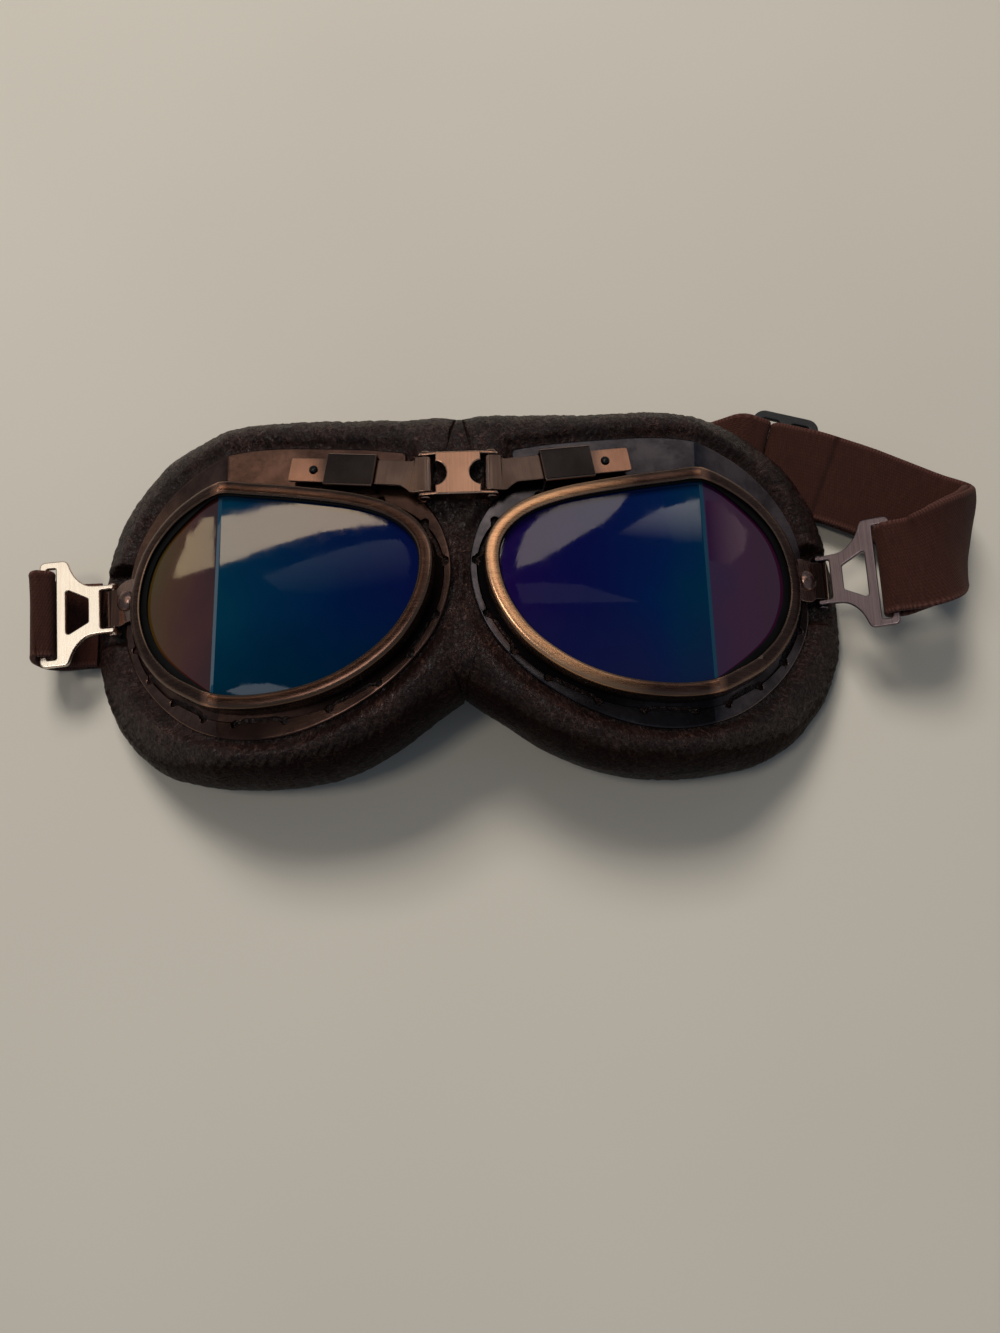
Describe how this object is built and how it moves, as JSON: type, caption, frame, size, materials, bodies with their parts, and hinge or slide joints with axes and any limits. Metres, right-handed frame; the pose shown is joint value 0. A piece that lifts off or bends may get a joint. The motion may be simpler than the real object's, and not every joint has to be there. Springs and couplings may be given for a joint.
{
  "type": "pilot goggles",
  "caption": "Vintage flying goggles with bent split lenses, a folding metal bridge, leather face pads, strap clips and an elastic strap.",
  "frame": {"origin": "middle of the outline, on the surface that the goggles lie on", "axes": "+X to the right as seen from the front, +Y towards the brow, +Z out through the lenses"},
  "size_m": [0.2598, 0.1056, 0.0473],
  "materials": {
    "copper": "antique copper plate, brushed along the rim",
    "gunmetal": "dark bronze plate, satin",
    "clip_copper": "light copper plate, smooth",
    "black_steel": "blackened steel",
    "lens_blue": "dark mirror-coated polycarbonate",
    "rubber": "matt black",
    "leather": "dark brown, fine crinkled grain, satin",
    "foam": "soft padding",
    "elastic": "brown woven elastic, matt",
    "black_plastic": "satin black"
  },
  "bodies": {
    "bridge": {"bridge_plate": "copper", "left_bridge_pin": "black_steel", "right_bridge_pin": "black_steel", "nose_pad": "leather", "strap_under_middle": "elastic"},
    "left_arm": {"left_bridge_arm": "copper", "left_set_screw": "black_steel"},
    "left_eye": {"left_cup": "gunmetal", "left_lens_rim": "copper", "left_lens_gasket": "rubber", "left_lens": "lens_blue", "left_arm_sleeve": "gunmetal", "left_temple_bracket": "copper", "left_bracket_rivet": "copper", "left_pad_leather": "leather", "left_pad_foam": "foam", "strap_under_left": "elastic"},
    "left_clip": {"left_strap_clip": "clip_copper", "left_clip_pin": "clip_copper", "strap_left_end": "elastic"},
    "right_arm": {"right_bridge_arm": "copper", "right_set_screw": "black_steel"},
    "right_eye": {"right_cup": "gunmetal", "right_lens_rim": "copper", "right_lens_gasket": "rubber", "right_lens": "lens_blue", "right_arm_sleeve": "gunmetal", "right_temple_bracket": "copper", "right_bracket_rivet": "copper", "right_pad_leather": "leather", "right_pad_foam": "foam", "strap_under_right": "elastic", "strap_right_loop": "elastic"},
    "right_clip": {"right_strap_clip": "clip_copper", "right_clip_pin": "clip_copper"},
    "strap_slider": {"strap_adjuster": "black_plastic"}
  },
  "joints": [
    {"name": "left_bridge_hinge", "type": "hinge", "parent": "bridge", "child": "left_arm", "pos_m": [-0.01886, 0.01973, 0.0416], "axis": [0, 1, 0], "range_deg": [-7, 7], "stiffness_Nm_per_rad": 0.3, "deforming": ["nose_pad", "strap_under_middle", "strap_under_left"]},
    {"name": "left_arm_slide", "type": "slide", "parent": "left_arm", "child": "left_eye", "axis": [-0.968, 0.1568, -0.1961], "range_m": [-0.0015, 0.0015], "deforming": ["nose_pad", "strap_under_middle", "strap_under_left"]},
    {"name": "left_clip_hinge", "type": "hinge", "parent": "left_eye", "child": "left_clip", "pos_m": [-0.10636, -0.00277, 0.0114], "axis": [-0.0872, 0.9962, 0], "range_deg": [-20, 60], "deforming": ["strap_left_end", "strap_under_left"]},
    {"name": "right_bridge_hinge", "type": "hinge", "parent": "bridge", "child": "right_arm", "pos_m": [-0.00266, 0.01973, 0.0416], "axis": [0, -1, 0], "range_deg": [-7, 7], "stiffness_Nm_per_rad": 0.3, "deforming": ["nose_pad", "strap_under_middle", "strap_under_right"]},
    {"name": "right_arm_slide", "type": "slide", "parent": "right_arm", "child": "right_eye", "axis": [0.968, 0.1568, -0.1961], "range_m": [-0.0015, 0.0015], "deforming": ["nose_pad", "strap_under_middle", "strap_under_right"]},
    {"name": "right_clip_hinge", "type": "hinge", "parent": "right_eye", "child": "right_clip", "pos_m": [0.08484, -0.00097, 0.0114], "axis": [0, -1, 0], "range_deg": [-35, 35], "deforming": ["strap_right_loop"]},
    {"name": "slider_slide", "type": "slide", "parent": "right_eye", "child": "strap_slider", "axis": [0.9595, -0.2814, 0.0126], "range_m": [-0.005, 0.005], "deforming": ["strap_right_loop", "strap_under_right"]}
  ]
}
